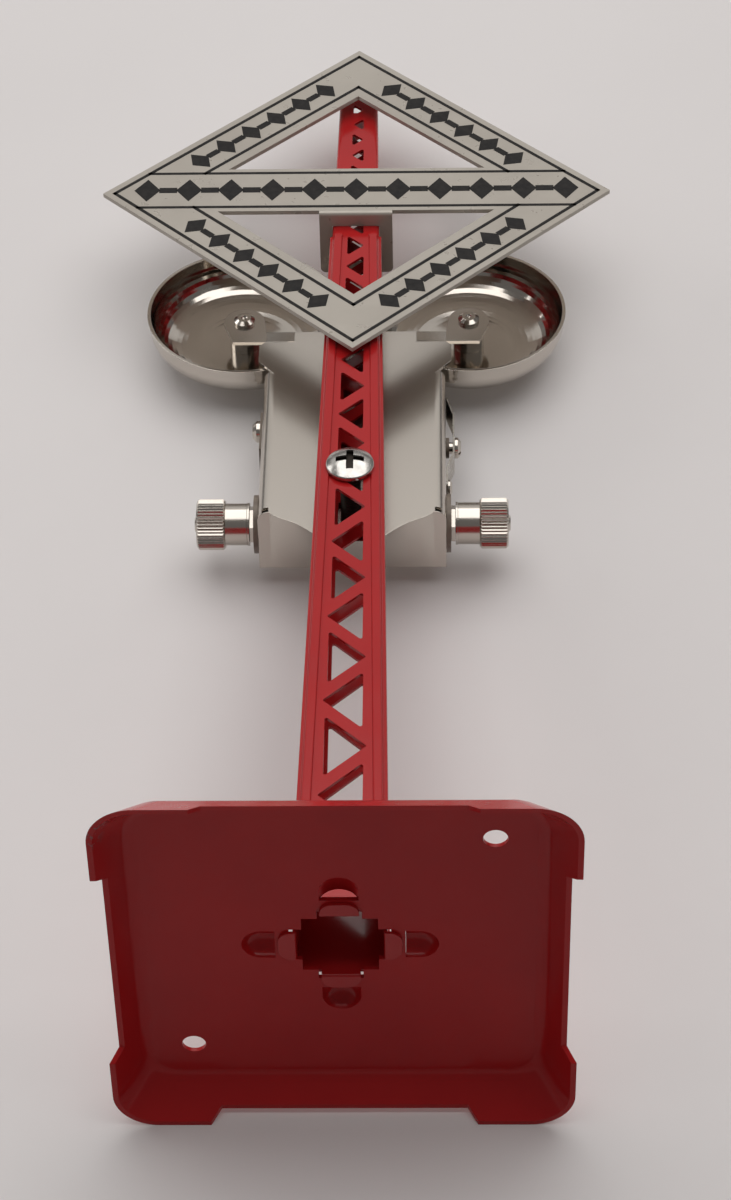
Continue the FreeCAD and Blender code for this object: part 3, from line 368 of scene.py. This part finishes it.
class SignPrint:
    """Lines and plain ornaments laid on the sign's face, in millimetres from the sign's middle."""

    def __init__(self):
        low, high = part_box("sign_plate")
        self.front = low.y
        self.middle = (low.z + high.z) / 2
        self.half_width = (high.x - low.x) / 2 / MM
        self.half_height = (high.z - low.z) / 2 / MM
        self.mesh = bmesh.new()
        self.thick = 0.025 * MM

    def patch(self, corners):
        """Thin raised patch over a convex outline given anticlockwise as seen from the front."""
        near = self.front - self.thick
        far = self.front + self.thick
        loops = []
        for y in (near, far):
            loops.append([self.mesh.verts.new((x * MM, y, self.middle + z * MM)) for x, z in corners])
        count = len(corners)
        self.mesh.faces.new(loops[0])
        self.mesh.faces.new(list(reversed(loops[1])))
        for i in range(count):
            j = (i + 1) % count
            self.mesh.faces.new((loops[0][j], loops[0][i], loops[1][i], loops[1][j]))

    def stroke(self, start, end, width):
        """Straight line with mitred square ends."""
        along = (Vector(end) - Vector(start)).normalized()
        side = Vector((-along.y, along.x)) * width / 2
        start, end = Vector(start) - along * width / 2, Vector(end) + along * width / 2
        self.patch([start - side, end - side, end + side, start + side])

    def lozenge(self, centre, along, length, height):
        centre, along = Vector(centre), Vector(along).normalized()
        across = Vector((-along.y, along.x)) * height / 2
        along = along * length / 2
        self.patch([centre - along, centre - across, centre + along, centre + across])

    def finish(self):
        bmesh.ops.recalc_face_normals(self.mesh, faces=self.mesh.faces)
        data = bpy.data.meshes.new("sign_print")
        self.mesh.to_mesh(data)
        piece = bpy.data.objects.new("sign_print", data)
        bpy.context.collection.objects.link(piece)
        data.materials.append(print_ink())
        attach(piece, "stand")


LINE = 0.68
OUTER_LINE_TOP = 42.8      # height of the outer line's corner above the sign's middle
INNER_LINE_TOP = 32.9
BAR_LINE_HIGH = 5.9
BAR_LINE_LOW = -4.3
BAND_MIDDLE_TOP = 37.9
BAND_SHARES = (0.16, 0.74)     # how far down each side band its row of marks begins and ends
BAND_MARKS = 11
BAND_MARK_HEIGHT = 5.4
BAR_REACH = 38
BAR_MARKS = 21
BAR_MARK_HEIGHT = 6.6
LOZENGE_LENGTH = 1.25          # as a share of the marks' pitch
DASH_HALF_LENGTH = 0.22
DASH_WIDTH = 0.24              # as a share of the marks' height


def row_of_marks(sign, start, end, count, height):
    """Alternate lozenges and dashes between two points."""
    start, end = Vector(start), Vector(end)
    along = (end - start).normalized()
    pitch = (end - start).length / (count - 1)
    for step in range(count):
        centre = start.lerp(end, step / (count - 1))
        if step % 2 == 0:
            sign.lozenge(centre, along, pitch * LOZENGE_LENGTH, height)
        else:
            half = along * pitch * DASH_HALF_LENGTH
            sign.stroke(centre - half, centre + half, height * DASH_WIDTH)


def print_sign():
    """Two lines round each half of the diamond, two along the bar, and a row of marks in each band."""
    sign = SignPrint()
    slope = sign.half_width / sign.half_height
    outer = (OUTER_LINE_TOP * slope, OUTER_LINE_TOP)
    inner = (INNER_LINE_TOP * slope, INNER_LINE_TOP)
    for up in (-1, 1):
        bar_line = BAR_LINE_HIGH if up > 0 else BAR_LINE_LOW
        for right in (-1, 1):
            sign.stroke((0, up * outer[1]), (right * outer[0], 0), LINE)
            reach = right * (inner[1] - abs(bar_line)) * slope
            sign.stroke((0, up * inner[1]), (reach, bar_line), LINE)
            top, low = [(right * BAND_MIDDLE_TOP * slope * share, up * BAND_MIDDLE_TOP * (1 - share))
                        for share in BAND_SHARES]
            row_of_marks(sign, top, low, BAND_MARKS, BAND_MARK_HEIGHT)
        ends = (outer[1] - abs(bar_line)) * slope
        sign.stroke((-ends, bar_line), (ends, bar_line), LINE)
    middle = (BAR_LINE_HIGH + BAR_LINE_LOW) / 2
    row_of_marks(sign, (-BAR_REACH, middle), (BAR_REACH, middle), BAR_MARKS, BAR_MARK_HEIGHT)
    sign.finish()


# Stage

STAGE_REACH = 1.6


def quad(name, corners, material):
    """Flat stage sheet through four corners, its front on the side they run anticlockwise."""
    data = bpy.data.meshes.new(name)
    data.from_pydata([tuple(corner) for corner in corners], [], [(0, 1, 2, 3)])
    piece = bpy.data.objects.new(name, data)
    bpy.context.collection.objects.link(piece)
    data.materials.append(material)
    return piece


def rest_plane():
    """The sheet that the mast lies back against: it touches the base's rear rim and the bell case."""
    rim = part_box("base_plate")[1]
    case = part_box("case_back")[1]
    foot = Vector((0, rim.y, 0))
    head = Vector((0, case.y, case.z))
    return foot, (head - foot).normalized()


def sheet_corners(middle, side, along):
    """Corners of a sheet that reaches as far as the two vectors each way from its middle."""
    return [middle - along - side, middle - along + side, middle + along + side, middle + along - side]


def make_stage():
    """The card behind, which casts no shadow, and the floor, which neither shades nor lights anything."""
    foot, along = rest_plane()
    side = Vector((STAGE_REACH, 0, 0))
    back = quad("backdrop", sheet_corners(foot, side, along * STAGE_REACH), stage_paper("backdrop_card"))
    ahead = Vector((0, STAGE_REACH, 0))
    floor = quad("floor", sheet_corners(Vector((0, 0, 0)), side, ahead), stage_paper("floor_card"))
    back.visible_shadow = False
    floor.visible_shadow = False
    floor.visible_glossy = False
    floor.visible_diffuse = False


LIGHT_TARGET = (0, 0, 0.12)    # a little above the middle of the mast
WORLD_LIGHT = 0.16


def area_light(name, place, target, size, power, colour):
    data = bpy.data.lights.new(name, "AREA")
    data.shape = "RECTANGLE"
    data.size, data.size_y = size
    data.energy = power
    data.color = colour
    lamp = bpy.data.objects.new(name, data)
    lamp.location = place
    lamp.rotation_euler = (Vector(target) - Vector(place)).to_track_quat("-Z", "Y").to_euler()
    bpy.context.collection.objects.link(lamp)


def make_light():
    world = bpy.data.worlds.new("studio")
    bpy.context.scene.world = world
    world.use_nodes = True
    background = world.node_tree.nodes["Background"]
    background.inputs["Color"].default_value = (1.0, 0.975, 0.965, 1)
    background.inputs["Strength"].default_value = WORLD_LIGHT
    area_light("overhead", (0.08, -1.0, 0.30), LIGHT_TARGET, (1.5, 1.2), 10.5, (1, 0.98, 0.965))
    area_light("ceiling", (0, -1.0, 1.5), (0, 0.1, 1.0), (2.6, 1.3), 4.8, (1, 0.98, 0.955))
    area_light("rear", (0.25, 1.0, 0.45), LIGHT_TARGET, (1.3, 1.1), 4.0, (1, 0.99, 0.98))
    area_light("window", (-0.8, -0.45, 0.40), LIGHT_TARGET, (0.4, 0.5), 1.6, (1, 0.99, 0.98))


# Camera at the picture's own place: base end near, looking up the mast from below and in front

CAMERA_PLACE = Vector((14.83, -385.41, -330.69)) * MM
CAMERA_FORWARD = Vector((-0.02136, 0.68464, 0.72857))
CAMERA_UP = Vector((0.00491, -0.72865, 0.68487))
CAMERA_LENS = 104.31       # millimetres, on a sensor this wide
SENSOR_WIDTH = 36
NEAREST_SEEN = 0.01


def make_camera():
    data = bpy.data.cameras.new("camera")
    data.lens = CAMERA_LENS
    data.sensor_width = SENSOR_WIDTH
    data.clip_start = NEAREST_SEEN
    forward = CAMERA_FORWARD.normalized()
    right = forward.cross(CAMERA_UP).normalized()
    up = right.cross(forward)
    camera = bpy.data.objects.new("camera", data)
    turn = Matrix((right, up, -forward)).transposed().to_4x4()
    camera.matrix_world = Matrix.Translation(CAMERA_PLACE) @ turn
    bpy.context.collection.objects.link(camera)
    bpy.context.scene.camera = camera


bpy.context.scene.view_settings.view_transform = "Standard"
paint_all()
print_sign()
make_stage()
make_light()
make_camera()
